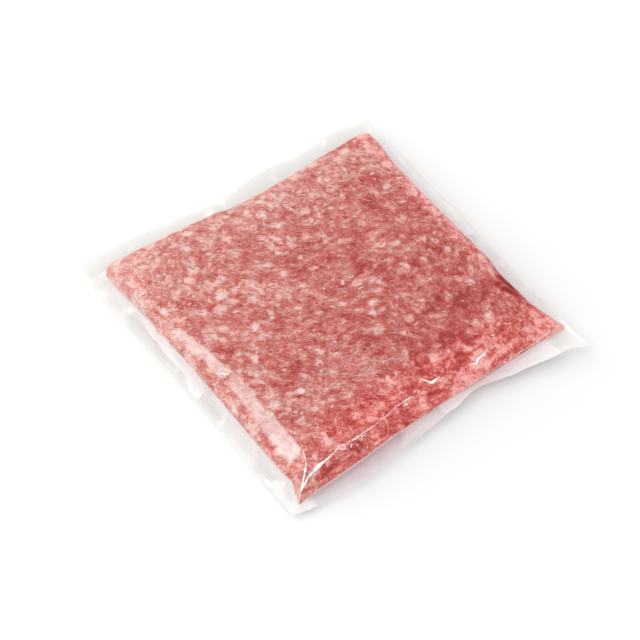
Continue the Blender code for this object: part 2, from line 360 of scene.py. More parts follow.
UNDER_LAYER = 40.0               # depth in the mince's grain at which the under face is cut


def sheet_places(zones, film):
    """The places of a sheet's grid, the heights of the upper face there and the unfolded places."""
    x, y = plan_grid(zones, zones)
    if not film:
        x, y = round_back_corners(x, y)
    return x, y, *top_surface(x, y, film)


def upper_faces(numbers):
    """The faces of the upper sheet, from the numbers of its points."""
    faces = []
    for near, far in zip(numbers, numbers[1:]):
        for column in range(len(near) - 1):
            faces.append((near[column], near[column + 1], far[column + 1], far[column]))
    return faces


def under_faces(numbers, under_numbers, step):
    """The faces of the under sheet: those at its edge take in every point of the finer upper edge."""
    last = len(under_numbers) - 2
    faces = []
    for row in range(last + 1):
        for column in range(last + 1):
            near, far = under_numbers[row], under_numbers[row + 1]
            face = [near[column]]
            if column == 0:
                face += list(numbers[step[row] + 1:step[row + 1], 0])
            face.append(far[column])
            if row == last:
                face += list(numbers[-1, step[column] + 1:step[column + 1]])
            face.append(far[column + 1])
            if column == last:
                face += list(numbers[step[row] + 1:step[row + 1], -1][::-1])
            face.append(near[column + 1])
            if row == 0:
                face += list(numbers[0, step[column] + 1:step[column + 1]][::-1])
            faces.append(tuple(face))
    return faces


def make_shell(name, cells, under_cells, film):
    """A closed piece: a fine upper sheet and a coarser under sheet that share their edge."""
    zones, under_zones = grid_zones(cells), grid_zones(under_cells)
    x, y, top, unfolded_x, unfolded_y = sheet_places(zones, film)
    points = np.stack([x, y, top], -1)
    flow = flow_place(unfolded_x, unfolded_y, top * 0)
    numbers = np.arange(x.size).reshape(x.shape)
    x, y, top, unfolded_x, unfolded_y = sheet_places(under_zones, film)
    under = under_height(x, y, top, WEB_GAP if film else 0.0)
    if not film:
        under = np.minimum(np.maximum(under, UNDER_LEVEL) + UNDER_GAP, top)
    # The under sheet's outer ring is the upper sheet's edge, so that the piece is closed
    inner = (slice(1, -1), slice(1, -1))
    under_points = np.stack([x, y, under], -1)[inner]
    under_flow = flow_place(unfolded_x, unfolded_y, under * 0 + UNDER_LAYER)[inner]
    step = [int(np.argmin(np.abs(zones - zone))) for zone in under_zones]
    under_numbers = numbers[np.ix_(step, step)]
    count = len(under_zones) - 2
    under_numbers[inner] = numbers.size + np.arange(count * count).reshape(count, count)
    piece = make_object(
        name,
        np.concatenate([points.reshape(-1, 3), under_points.reshape(-1, 3)]),
        upper_faces(numbers) + under_faces(numbers, under_numbers, step),
        np.concatenate([flow.reshape(-1, 3), under_flow.reshape(-1, 3)]),
    )
    if film:
        # The cut edge is sharp, or the shading would round it off into a grey line
        ring = set(numbers[0]) | set(numbers[-1]) | set(numbers[:, 0]) | set(numbers[:, -1])
        for edge in piece.data.edges:
            edge.use_edge_sharp = edge.vertices[0] in ring and edge.vertices[1] in ring
    return piece


def flow_place(x, y, layer):
    """Places in the grain of the mince: along its streaks, across them and in depth."""
    along = 0.816 * x - 0.578 * y + 5 * smooth_noise(x, y, 45, 51)
    across = 0.578 * x + 0.816 * y + 5 * smooth_noise(x, y, 38, 52)
    return np.stack([along, across, layer], -1)


# Large patches that stand out: x, y, half length, half width, turn in degrees and how much paler,
# or darker where that is below 0; some dark ones are painted shade on the walls
MINCE_AND_SHADE_PATCHES = [
    (-58, 47, 11, 3.4, -48, 1.0),
    (-49, 37, 8, 4.0, -30, 1.0),
    (-34, 28, 9, 2.8, -35, 0.9),
    (-23, 14, 5, 4.0, 0, 1.3),
    (-66, 51, 2, 4.5, 20, 1.2),
    (-15, 65, 7, 4.5, 60, 0.7),
    (9, 71, 4, 1.4, -25, 0.9),
    (72, 66, 7, 3.0, 65, 0.7),
    (45, 9, 2.2, 3.5, -15, 1.3),
    (72, -11, 3.4, 2.6, 0, 0.9),
    (74, -33, 2.0, 3.0, 15, 1.6),
    (35, -23, 2.2, 2.6, 0, 1.4),
    (8.5, -32, 2.2, 2.8, 10, 1.3),
    (-11, -26, 1.7, 4.0, 8, 1.2),
    (-11, -54, 3.6, 2.4, 30, 1.2),
    (-7, -72, 2.2, 4.5, 25, 1.0),
    (-59, -77, 1.6, 4.2, -12, 2.2),
    (-51, -60, 2.0, 6.0, -25, 0.9),
    (53, -76, 4.2, 3.0, 0, 1.4),
    (43, -75, 4.0, 1.5, 8, 1.2),
    (-32, -52, 5, 2.6, 20, 0.8),
    (0, 34, 9, 6, 0, -0.8),
    (-80, 12, 8, 13, 0, 0.6),
    (56, -50, 15, 10, 0, -0.6),
    (86, 22, 6, 16, 0, 0.7),
    (30, -68, 12, 9, 0, -0.35),
    (52, 38, 14, 8, 0, -0.5),
    (-48, 21, 9, 2.6, 8, -0.8),
    (60, -10, 14, 7, 20, -0.5),
    (45, -35, 7, 5, 0, -0.8),
    (67, -47, 14, 7, -8, -1.1),
    (26, -62, 16, 7, -15, -0.8),
    (-50, -30, 10, 6, 0, -0.8),
    (-44, -76, 6, 4, 0, -0.9),
    # These dark rows along the front brow and wall are partly painted shade below the creases
    (-69, -92.5, 6, 2.2, 0, -2.2),
    (-48, -90.5, 8, 1.8, 4, -1.6),
    (-28, -89.5, 5, 1.5, 4, -1.0),
    (8, -86.5, 8, 1.6, 0, -1.6),
    (58, -86.5, 8, 1.3, 2, -1.3),
    (34, -86, 8, 1.6, 0, -0.9),
    (70, -82, 9, 1.6, -5, -0.9),
    (86, -84, 7, 2.2, -10, -1.1),
    (25, -30, 30, 28, 0, -0.6),
    (34, 42, 18, 12, 0, 0.35),
    (62, -83, 8, 1.8, 5, 0.8),
    (78, -72, 3.5, 2.0, 60, 1.1),
    (66, -76, 2.4, 1.6, 0, 1.2),
    (84, -79, 3.0, 1.2, -50, 1.0),
    # Painted shade in the recess below the crease on the right wall
    (84.5, -52, 13, 4.8, 81, -4.2),
]


def patch_sum(patches, x, y):
    """What a list of oval patches with ragged edges adds up to at each place."""
    total = np.zeros_like(x)
    ragged = 1 + 0.6 * smooth_noise(x, y, 3.0, 64) + 0.3 * smooth_noise(x, y, 1.4, 65)
    for middle_x, middle_y, half_length, half_width, turn, amount in patches:
        run_x, run_y = math.cos(math.radians(turn)), math.sin(math.radians(turn))
        along = ((x - middle_x) * run_x + (y - middle_y) * run_y) / half_length
        across = ((y - middle_y) * run_x - (x - middle_x) * run_y) / half_width
        total = total + amount * np.exp(-((along ** 2 + across ** 2) * ragged) ** 1.4)
    return total


def paleness_and_light(x, y):
    """How much paler than its mean the mince is: paler towards its left and back, partly a painted reflection
    of the film's haze, with painted light on its shaded walls.
    """
    total = 0.14 + (0.25 * y - 0.30 * x) / HALF_SLAB + 0.25 * smooth_noise(x, y, 24, 61)
    # Paler along the left and the back; along the right, painted light on the shaded brow and wall
    total = total + 0.15 * ease((-x - 60) / 25) + 0.3 * ease((y - 50) / 30) + 1.5 * ease((x - 76) / 8)
    # Paler along the front, and painted light most of all on the right half of its shaded wall
    total = total + 0.3 * ease((-y - 62) / 14) + 1.3 * ease((-y - 80) / 5) * ease(x / 20)
    # On the left wall, and by the middle of the back
    total = total + 0.5 * ease((-x - 82) / 4) + 0.45 * ease((y - 55) / 25) * np.exp(-((x - 10) / 45) ** 2)
    return total + patch_sum(MINCE_AND_SHADE_PATCHES, x, y)


def freshness(x, y):
    """How fresh a red the mince is: most along the front towards the right, and some along the right."""
    along_front = ease((-y - 54) / 28) * ease((x + 110) / 90)
    return np.maximum(along_front, 0.75 * ease((x - 74) / 10))


# A painted reflection of the lamps, a whitish band along the left brow: y, left edge, right edge and strength
SHEEN_BAND = [
    (-80.0, -83.0, -78.0, 0.9), (-76.0, -83.8, -74.9, 1.9), (-66.0, -83.2, -74.3, 1.55),
    (-50.0, -82.8, -74.3, 1.3), (-30.0, -82.8, -74.3, 1.1), (-19.0, -81.0, -75.0, 1.1),
    (-14.5, -79.0, -75.6, 1.0), (-13.0, -82.5, -75.4, 1.0), (-8.0, -83.0, -77.0, 1.2),
    (0.0, -83.6, -78.2, 1.3), (10.0, -84.4, -79.4, 1.4), (20.0, -85.2, -80.8, 1.4),
    (30.0, -86.2, -83.0, 1.3), (40.0, -87.6, -85.4, 0.9), (47.0, -89.0, -88.0, 0.3),
]


def film_sheen(x, y):
    """How white the painted reflection along the left brow is: soft on its left, sharper on its right."""
    rows = np.array(SHEEN_BAND)
    left, right, strength = [np.interp(y, rows[:, 0], rows[:, column]) for column in (1, 2, 3)]
    waver = 0.9 * smooth_noise(x, y, 5, 91) + 0.5 * smooth_noise(x, y, 2.2, 92)
    within = ease((y - rows[0, 0]) / 2) * ease((rows[-1, 0] - y) / 4)
    return strength * within * ease((x - left + waver + 1.5) / 3.0) * ease((right - x + waver + 1.0) / 1.3)


def facet_shade(x, y, size, seed):
    """One random shade between 0 and 1 for each of many slanting flat patches."""
    bend_x = x + 0.5 * size * smooth_noise(x, y, size * 1.5, seed + 1)
    bend_y = y + 0.5 * size * smooth_noise(x, y, size * 1.5, seed + 2)
    corners, _, _ = noise_cells(bend_x + 0.6 * bend_y, bend_y - 0.4 * bend_x, size, seed)
    return corners[0] * 0.5 + 0.5


def rim_places(x, y):
    """How far out on the rim each place is, from 0 at the foot to 1 at the cut edge, on each side."""
    across, along = side_columns(x, y)
    out_x = (np.abs(x) - across[..., FOOT]) / (across[..., EDGE] - across[..., FOOT])
    out_y = (np.abs(y) - along[..., FOOT]) / (along[..., EDGE] - along[..., FOOT])
    return np.clip(out_x, 0, 1), np.clip(out_y, 0, 1)


# Shades of the rim: grey where its two webs lie together, milky where they part and partly painted light, and
# painted pink shade of the slab with light bounced off the mince:
# kind, amount, width of its soft edge and outline
RIM_SHADES = [
    ("cloud", 1.00, 0.5, [(-98, -77), (-98, -65), (-91.5, -61), (-93.5, -73)]),
    ("cloud", 1.00, 0.5, [(-94, -67), (-91.5, -60), (-87, -52), (-87, -58), (-91, -66)]),
    ("cloud", 1.00, 0.5, [(-88.5, -81), (-93, -77), (-95.5, -73), (-93, -71), (-90, -77)]),
    ("cloud", 1.00, 0.5, [(-98, -31), (-98, -12), (-94, -12), (-89.5, -17), (-88, -24), (-92, -29)]),
    ("cloud", 0.90, 0.8, [(-91, -17), (-89.8, -9), (-87, 4), (-87, -14)]),
    ("cloud", 0.85, 0.8, [(-99, -3), (-102, 57), (-96.5, 60), (-94.2, 40), (-93.6, 10), (-95, 2)]),
    ("cloud", 0.85, 0.8, [(-96, 38), (-96.5, 60), (-92, 62), (-92, 54), (-94.0, 42)]),
    ("cloud", 0.90, 0.8, [(-105, 79), (-104, 107), (-92, 107), (-92, 86)]),
    ("cloud", 0.90, 0.8, [(-104, 93), (-104, 107), (-78, 107), (-78, 93)]),
    ("cloud", 0.60, 2.0, [(94, -74), (99, -68), (99, -18), (95.5, -20), (95, -60)]),
    ("milk_and_light", 0.60, 0.8, [(-85.5, -84.0), (-98.5, -81.5), (-98.5, -74.0)]),
    ("milk_and_light", 0.45, 0.8, [(-98, -11), (-98, -3), (-93, 6), (-87, 2), (-90.5, -9)]),
    ("milk_and_light", 0.50, 0.8, [(-93.2, 2), (-94, 38), (-91.6, 57), (-89.2, 60), (-87, 20), (-87, 2)]),
    ("milk_and_light", 0.50, 0.8, [(-92, 59), (-96, 61), (-96, 64), (-91, 63)]),
    ("milk_and_light", 0.30, 1.5, [(-94, 74), (-103, 79.5), (-103, 82), (-97, 84.5), (-92, 82)]),
    ("milk_and_light", 0.32, 10.0, [(64, -98), (70, -80), (104, -80), (108, -112), (76, -114)]),
    ("milk_and_light", 0.48, 8.0, [(-110, -112), (-104, -92), (-86, -92), (-80, -112)]),
    ("milk_and_light", 0.30, 1.2, [(-99, -99), (-99, -84), (-88, -84), (-90.5, -98)]),
    ("milk_and_light", 0.35, 6.0, [(-24, -100), (0, -100), (16, -97.5), (16, -86), (-16, -88)]),
    ("milk_and_light", 0.58, 4.0, [(6, -97), (84, -104), (84, -84), (6, -86)]),
    ("milk_and_light", 0.40, 5.0, [(86, -4), (84, 66), (102, 66), (102, -4)]),
    ("milk_and_light", 0.15, 3.0, [(86, 58), (89, 96), (99, 104), (99, 58)]),
    ("pink_shade", 1.00, 3.0, [(-82, -95), (-76, -100), (-40, -100.5), (-16, -98), (-8, -90), (-50, -92)]),
    ("pink_shade", 0.35, 3.0, [(-86, -99), (-80, -106), (-30, -105), (-16, -98.5), (-78, -98.5)]),
    ("pink_shade", 0.55, 1.0, [(-62, -101), (-58, -104.5), (-40, -104), (-38, -101.5)]),
    ("pink_shade", 0.55, 3.0, [(-22, -98), (0, -98), (14, -95.5), (14, -87), (-14, -90)]),
    ("pink_shade", 0.50, 4.0, [(6, -97), (78, -97), (80, -84), (6, -86)]),
    ("pink_shade", 0.90, 2.0, [(50, -87), (55, -92.5), (66, -92.5), (74, -89.0), (68, -86)]),
    ("pink_shade", 0.15, 4.0, [(70, -95), (72, -83), (99, -83), (100, -95)]),
    ("pink_shade", 0.10, 3.0, [(-107, -106), (-99, -86), (-88, -86), (-76, -98), (-78, -108)]),
    ("pink_shade", 0.25, 2.0, [(90, -72), (99, -68), (99, -16), (89, -16)]),
    ("pink_shade", 0.80, 1.0, [(95.8, -37), (97.9, -35), (97.9, -23), (96.0, -24)]),
    ("pink_shade", 0.12, 3.0, [(87, -20), (87, 62), (99, 62), (99, -20)]),
]


def rim_shade(kind, x, y):
    """The strongest shade of a kind at each place of the rim."""
    bent_x = x + 0.35 * smooth_noise(x, y, 7, 81)
    bent_y = y + 0.35 * smooth_noise(x, y, 7, 83)
    shade = np.zeros_like(x)
    for shade_kind, amount, edge_width, corners in RIM_SHADES:
        if shade_kind != kind:
            continue
        corners = np.array(corners, float)
        after = np.roll(corners, -1, 0)
        turn = np.sign(np.sum(corners[:, 0] * after[:, 1] - corners[:, 1] * after[:, 0]))
        inside = np.full_like(x, 1e9)
        for (start_x, start_y), (end_x, end_y) in zip(corners, after):
            reach = (end_x - start_x) * (bent_y - start_y) - (end_y - start_y) * (bent_x - start_x)
            inside = np.minimum(inside, turn * reach / math.hypot(end_x - start_x, end_y - start_y))
        shade = np.maximum(shade, amount * ease(inside / edge_width + 0.5))
    return shade


def film_cloud(x, y):
    """How grey the film is: patchy on the wrinkled rim, and even along the back."""
    on_rim = ease((shape_lost(x, y)[0] - 0.92) / 0.08)
    out_x, out_y = rim_places(x, y)
    along_back = 0.95 * (y > 0) * (out_y > out_x)
    facets = 0.15 * facet_shade(x, y, 12, 86)
    return on_rim * np.clip(np.maximum(rim_shade("cloud", x, y), along_back) + facets, 0, 1)


def film_milk_and_light(x, y):
    """How milky the rim is, partly painted light where it lies in shade and where its facets catch the lamps,
    and a slight painted reflection over the back of the mince.
    """
    on_rim = shape_lost(x, y)[0] > 0.985
    out_x, out_y = rim_places(x, y)
    # Painted light on the left rim beside the foot, over the shade of the mince
    beside = (x < 0) * (out_y <= 0) * (1 - 0.75 * ease(out_x / 0.7))
    # A faint painted reflection over the back of the mince
    haze = 0.02 * ease((y - 35) / 30) * (1 - on_rim)
    return haze + on_rim * np.maximum(rim_shade("milk_and_light", x, y), 0.06 + 0.36 * beside)


def film_pink_shade(x, y):
    """How much painted pink shade the rim has: the slab's shadow with light bounced off the mince, by the
    foot and where the rim lies in that shadow.
    """
    near_foot = 0.2 * (1 - ease(np.maximum(*rim_places(x, y)) * 3))
    on_rim = shape_lost(x, y)[0] > 0.98
    streaks = 0.85 + 0.3 * smooth_noise(x, y, 4, 87)
    return on_rim * np.maximum(rim_shade("pink_shade", x, y) * streaks, near_foot)


def streak_turn(x, y):
    """Share of the mince's fibres that run along the right side, not across the middle."""
    return ease((0.8 * x - 0.35 * y - 5 + 12 * smooth_noise(x, y, 22, 66)) / 45)


# Where the film lies sunk against the right wall and mirrors little
DULL_PATCHES = [(87, -46, 22, 8, 86, 1.0)]


def make_object(name, points, faces, flow, boost=0.0):
    """A mesh piece from points in millimetres, with what its material reads at each of them."""
    mesh = bpy.data.meshes.new(name)
    placed = (np.asarray(points) + np.array([SHIFT[0], SHIFT[1], 0])) * MM
    mesh.from_pydata(placed.tolist(), [], [tuple(int(number) for number in face) for face in faces])
    attribute = mesh.attributes.new("flow", "FLOAT_VECTOR", "POINT")
    attribute.data.foreach_set("vector", np.asarray(flow, np.float32).ravel())
    x, y = points[:, 0], points[:, 1]
    values = {
        "paleness_and_light": paleness_and_light(x, y) + boost,
        "fresh": freshness(x, y),
        "turned": streak_turn(x, y),
        "cloud": film_cloud(x, y),
        "pink_shade": film_pink_shade(x, y),
        "milk_and_light": film_milk_and_light(x, y),
        "sheen": film_sheen(x, y),
        "dull": patch_sum(DULL_PATCHES, x, y),
    }
    for key, value in values.items():
        attribute = mesh.attributes.new(key, "FLOAT", "POINT")
        attribute.data.foreach_set("value", value.astype(np.float32))
    mesh.shade_smooth()
    piece = bpy.data.objects.new(name, mesh)
    bpy.context.scene.collection.objects.link(piece)
    return piece


def surface_frame(x, y, film):
    """The points of a surface at places, and the direction out of it at each of them."""
    step = 0.4
    height = top_surface(x, y, film)[0]
    slope_x = (top_surface(x + step, y, film)[0] - top_surface(x - step, y, film)[0]) / (2 * step)
    slope_y = (top_surface(x, y + step, film)[0] - top_surface(x, y - step, film)[0]) / (2 * step)
    out = np.stack([-slope_x, -slope_y, np.ones_like(x)], -1)
    out /= np.linalg.norm(out, axis=-1, keepdims=True)
    return np.stack([x, y, height], -1), out


def streak_direction(x, y):
    """The direction of the mince's streaks on the floor plan."""
    step = 1.0
    flow_x = flow_place(x + step, y, 0 * x) - flow_place(x - step, y, 0 * x)
    flow_y = flow_place(x, y + step, 0 * x) - flow_place(x, y - step, 0 * x)
    # Across the streaks the flow's second number grows, so the streaks run at right angles to that
    run = np.stack([flow_y[..., 1], -flow_x[..., 1], 0 * x], -1)
    return run / np.linalg.norm(run, axis=-1, keepdims=True)


LEFT_REACH, RIGHT_REACH, FRONT_REACH, BACK_REACH = -90, 94, -96, 91
LOWEST_PLACE = 0.88              # how far down the wall the grains still lie, as a share of its height
TRIES = 4                        # places drawn for each one that is wanted


def scatter_places(count, seed, keep):
    """Random places on the slab and its walls, where keep of a place is above a random share."""
    draw = np.random.RandomState(seed)
    x = draw.uniform(LEFT_REACH, RIGHT_REACH, count * TRIES)
    y = draw.uniform(FRONT_REACH, BACK_REACH, count * TRIES)
    share = draw.uniform(0, 1, count * TRIES)
    kept = (shape_lost(x, y)[0] < LOWEST_PLACE) & (keep(x, y) > share)
    return x[kept][:count], y[kept][:count], draw


# Rings of a grain: share of its outline, height over the mince and how much of its paleness it has
GRAIN_RINGS = (
    (0.0, 0.07, 1.0), (0.55, 0.065, 0.9), (0.85, 0.045, 0.45), (1.0, -0.01, 0.0), (0.96, -0.2, 0.0),
)


def make_grains(name, count, seed):
    """Flat, uneven grains of fat pressed flush into the mince's surface."""
    x, y, draw = scatter_places(count, seed, lambda x, y: 0.4 + 0.6 * ease(0.5 + paleness_and_light(x, y)))
    centre, out = surface_frame(x, y, False)
    run = streak_direction(x, y)
    run -= out * np.sum(run * out, axis=-1, keepdims=True)
    run /= np.linalg.norm(run, axis=-1, keepdims=True)
    beside = np.cross(out, run)
    sides = 12
    turn = np.arange(sides) * 2 * math.pi / sides
    rings = len(GRAIN_RINGS) - 1
    flat, lifts, boosts, faces = [], [], [], []
    for index in range(len(x)):
        half_width = 0.6 * math.exp(draw.normal(0.45, 0.42))
        half_length = half_width * draw.uniform(1.1, 2.0)
        spin = draw.normal(0, 0.6)
        along = run[index] * math.cos(spin) + beside[index] * math.sin(spin)
        across = beside[index] * math.cos(spin) - run[index] * math.sin(spin)
        outline = np.ones(sides)
        for waves, least, most in ((2, 0.05, 0.25), (3, 0.05, 0.22), (5, 0.0, 0.14)):
            outline += draw.uniform(least, most) * np.sin(waves * turn + draw.uniform(0, 6))
        pale = draw.uniform(0.3, 1.45)
        first = len(flat)
        for share, lift, part in GRAIN_RINGS[1:]:
            for angle, reach in zip(turn, outline):
                step = along * math.cos(angle) * half_length + across * math.sin(angle) * half_width
                flat.append(centre[index] + step * share * reach)
                lifts.append(lift)
                boosts.append(pale * part)
        flat.append(centre[index])
        lifts.append(GRAIN_RINGS[0][1])
        boosts.append(pale)
        for side in range(sides):
            after = (side + 1) % sides
            faces.append((first + rings * sides, first + side, first + after))
            for ring in range(rings - 1):
                near = first + ring * sides
                faces.append((near + side, near + sides + side, near + sides + after, near + after))
        faces.append(tuple(first + (rings - 1) * sides + side for side in reversed(range(sides))))
    flat = np.array(flat)
    points, outs = surface_frame(flat[:, 0], flat[:, 1], False)
    points = points + outs * np.array(lifts)[:, None]
    flow = flow_place(points[:, 0], points[:, 1], points[:, 2])
    return make_object(name, points, faces, flow, np.array(boosts))


# Cross-section of a strand: share of its half width across and of its rise outwards
STRAND_SECTION = ((-1, -0.5), (-0.6, 0.55), (0, 1), (0.6, 0.55), (1, -0.5))


def make_strands(name, paths, half_widths, rise, boost=0.0):
    """Thin strands along paths on a surface: each path has its points and the directions out of it."""
    lanes = len(STRAND_SECTION)
    points, faces = [], []
    for (centres, outs), half_width in zip(paths, half_widths):
        count = len(centres)
        run = np.gradient(centres, axis=0)
        run /= np.linalg.norm(run, axis=1, keepdims=True)
        side = np.cross(outs, run)
        taper = np.sin(np.linspace(0.04, 0.96, count) * math.pi)[:, None] ** 0.6
        width = half_width[:, None] * taper
        first = len(points)
        for across, up in STRAND_SECTION:
            points.extend(centres + side * across * width + outs * up * rise * taper)
        for index in range(count - 1):
            for lane in range(lanes):
                after = (lane + 1) % lanes
                near, far = first + lane * count + index, first + after * count + index
                faces.append((near, far, far + 1, near + 1))
        faces.append(tuple(first + lane * count for lane in range(lanes))[::-1])
        faces.append(tuple(first + lane * count + count - 1 for lane in range(lanes)))
    points = np.array(points)
    flow = flow_place(points[:, 0], points[:, 1], points[:, 2])
    return make_object(name, points, faces, flow, boost)


def thread_share(x, y):
    """How thickly threads lie at a place: most of them are low in the middle of the front."""
    return 0.14 + 0.86 * np.exp(-((x + 22) ** 2 + (y + 62) ** 2) / 27 ** 2)


def make_threads(name, count, seed):
    """Pale threads of tendon and fat that curl over the mince."""
    x, y, draw = scatter_places(count, seed, thread_share)
    run = streak_direction(x, y)
    paths, widths = [], []
    for index in range(len(x)):
        length = draw.uniform(4, 13)
        steps = 14
        heading = math.atan2(run[index][1], run[index][0]) + draw.normal(0, 0.6)
        bend = draw.normal(0, 0.9) / steps
        turns = heading + np.arange(steps) * bend + np.cumsum(draw.normal(0, 0.10, steps))
        places_x = x[index] + np.cumsum(np.cos(turns)) * length / steps
        places_y = y[index] + np.cumsum(np.sin(turns)) * length / steps
        if shape_lost(places_x, places_y)[0].max() > 0.85:
            continue
        centres, outs = surface_frame(places_x, places_y, False)
        paths.append((centres + outs * 0.10, outs))
        widths.append(np.full(steps, draw.uniform(0.14, 0.38)))
    return make_strands(name, paths, widths, 0.10, 2.1)


# Folds of doubled film, white strands that are partly painted highlights: x, y and half width at each point
FOLD_HIGHLIGHTS = [
    [(-74.2, -78.0, 0.3), (-75.4, -81.4, 0.45), (-76.8, -84.6, 0.5), (-80.2, -88.3, 0.55),
     (-84.3, -92.0, 0.55), (-88.0, -95.1, 0.45), (-91.0, -98.3, 0.3)],
    [(-56.0, -87.7, 0.15), (-60.0, -88.3, 0.25), (-66.5, -89.2, 0.5), (-73.8, -89.8, 0.9),
     (-79.5, -91.0, 0.9), (-84.0, -93.0, 0.6), (-87.0, -94.6, 0.3)],
    [(-57.0, -87.9, 0.12), (-52.0, -88.3, 0.15), (-47.0, -88.5, 0.18), (-43.0, -87.8, 0.2),
     (-34.0, -87.1, 0.27), (-28.0, -86.2, 0.15)],
    [(-27.0, -86.0, 0.1), (-24.0, -85.5, 0.24), (-21.0, -84.9, 0.1)],
    [(-20.0, -84.6, 0.1), (-16.3, -83.9, 0.22), (-10.0, -83.7, 0.3), (-5.0, -83.5, 0.15)],
    [(4.2, -76.4, 0.3), (6.9, -81.0, 0.6), (9.2, -82.0, 0.75), (14.6, -81.1, 0.5)],
    [(36.0, -80.0, 0.2), (35.8, -84.5, 0.5), (39.1, -83.0, 0.55), (47.5, -81.4, 0.3)],
    [(31.5, -83.2, 0.2), (35.8, -84.5, 0.4), (38.0, -86.5, 0.2)],
    [(-90.4, 58.2, 0.3), (-88.7, 61.4, 0.35), (-88.9, 64.5, 0.2)],
    [(-88.7, 61.4, 0.3), (-85.2, 60.4, 0.3), (-83.1, 60.5, 0.2)],
    [(-83.0, -6.5, 0.15), (-81.6, -10.0, 0.25), (-80.2, -11.0, 0.3), (-78.6, -13.5, 0.3),
     (-76.6, -13.0, 0.35), (-75.4, -15.0, 0.2)],
    [(22.0, -89.4, 0.12), (30.0, -89.1, 0.25), (36.0, -89.0, 0.15), (46.0, -88.6, 0.2), (51.0, -88.5, 0.3)],
    [(49.0, -88.2, 0.25), (57.0, -88.5, 0.12), (66.0, -87.8, 0.25), (76.0, -87.3, 0.15),
     (84.0, -86.6, 0.3), (93.0, -87.2, 0.15)],
]
FOLD_STEP = 0.8
GLINT_STEP = 0.3

# Painted glints, short white strands where the film is gathered: start, end and how many
GLINT_SPANS = [
    ((-57, -88.0), (-46, -88.6), 16),
    ((-46, -88.2), (-28, -86.4), 5),
    ((-12, -84), (-2, -82.5), 7),
    ((2, -79), (16, -82.5), 4),
    ((32, -85), (48, -82), 4),
]


def glint_strands(seed):
    """Painted glints along the gathered edges, as short white strands: x, y and half width at each point."""
    draw = np.random.RandomState(seed)
    glints = []
    for (start_x, start_y), (end_x, end_y), count in GLINT_SPANS:
        for _ in range(count):
            share = draw.uniform(0, 1)
            x = start_x + (end_x - start_x) * share + draw.normal(0, 0.6)
            y = start_y + (end_y - start_y) * share + draw.normal(0, 1.0)
            length = draw.uniform(0.7, 1.8)
            turn = draw.uniform(0, math.pi)
            half_width = draw.uniform(0.2, 0.45)
            run_x, run_y = math.cos(turn) * length, math.sin(turn) * length
            glints.append([(x + run_x * side, y + run_y * side, half_width) for side in (-0.5, 0.0, 0.5)])
    return glints


def fold_path(points, spacing):
    """A smooth line through points, with even steps."""
    knots = np.array(points, float)
    knots = np.concatenate([[2 * knots[0] - knots[1]], knots, [2 * knots[-1] - knots[-2]]])
    line = []
    for before, start, end, after in zip(knots, knots[1:], knots[2:], knots[3:]):
        steps = max(int(np.linalg.norm(end - start) / spacing), 1)
        for step in range(steps):
            t = step / steps
            square = (2 * before - 5 * start + 4 * end - after) * t ** 2
            cube = (3 * start - before - 3 * end + after) * t ** 3
            line.append(0.5 * (2 * start + (end - before) * t + square + cube))
    line.append(knots[-2])
    return np.array(line)


def make_folds_and_glints(name):
    """The doubled folds of film and the painted glints, a little proud of the film they lie on: their white
    is partly a painted highlight.
    """
    paths, widths = [], []
    for number, points in enumerate(FOLD_HIGHLIGHTS + glint_strands(77)):
        line = fold_path(points, FOLD_STEP if number < len(FOLD_HIGHLIGHTS) else GLINT_STEP)
        centres, outs = surface_frame(line[:, 0], line[:, 1], True)
        draw = np.random.RandomState(700 + number)
        knots = np.arange(0, len(line) + 4, 4)
        wave = 0.75 + 0.4 * np.interp(np.arange(len(line)), knots, draw.uniform(0, 1, len(knots)))
        paths.append((centres + outs * 0.05, outs))
        widths.append(np.maximum(line[:, 2], 0.1) * wave)
    return make_strands(name, paths, widths, 0.2)


def add_node(tree, kind, sockets, **settings):
    """Adds a node with its settings. A socket takes a value or the output of another node."""
    node = tree.nodes.new(kind)
    for key, value in settings.items():
        setattr(node, key, value)
    for key, value in sockets.items():
        if isinstance(value, bpy.types.NodeSocket):
            tree.links.new(value, node.inputs[key])
        else:
            node.inputs[key].default_value = value
    return node


def calculate(tree, operation, first, second=0.0, third=0.0):
    """The result of a sum or other operation on numbers."""
    return add_node(tree, "ShaderNodeMath", {0: first, 1: second, 2: third}, operation=operation).outputs[0]


def move_place(tree, operation, first, second):
    """The result of an operation on places."""
    return add_node(tree, "ShaderNodeVectorMath", {0: first, 1: second}, operation=operation).outputs[0]


def soft_step(tree, value, low, high, start=0.0, end=1.0):
    """Goes smoothly from start to end while the value goes from low to high."""
    sockets = {"Value": value, "From Min": low, "From Max": high, "To Min": start, "To Max": end}
    return add_node(tree, "ShaderNodeMapRange", sockets, interpolation_type="SMOOTHSTEP").outputs[0]


def read_attribute(tree, name, output="Fac"):
    """What the mesh says under a name at each place."""
    return add_node(tree, "ShaderNodeAttribute", {}, attribute_name=name).outputs[output]


def mix_colour(tree, amount, first, second):
    """Blends two colours."""
    node = add_node(tree, "ShaderNodeMix", {0: amount}, data_type="RGBA")
    for socket, colour in ((node.inputs["A"], first), (node.inputs["B"], second)):
        if isinstance(colour, bpy.types.NodeSocket):
            tree.links.new(colour, socket)
        else:
            socket.default_value = (*colour, 1.0)
    # All its outputs have the same name, and the third is the one for colours
    return node.outputs[2]


def noise_node(tree, place, scale, detail, roughness=0.5, distortion=0.0):
    """A noise node, whose outputs lie between 0 and 1, read at a place in millimetres."""
    sockets = {"Vector": place, "Scale": scale, "Detail": detail, "Roughness": roughness}
    return add_node(tree, "ShaderNodeTexNoise", {**sockets, "Distortion": distortion})


def new_material(name):
    """A material, its empty node tree and its output node."""
    material = bpy.data.materials.new(name)
    material.use_nodes = True
    tree = material.node_tree
    tree.nodes.clear()
    return material, tree, tree.nodes.new("ShaderNodeOutputMaterial")


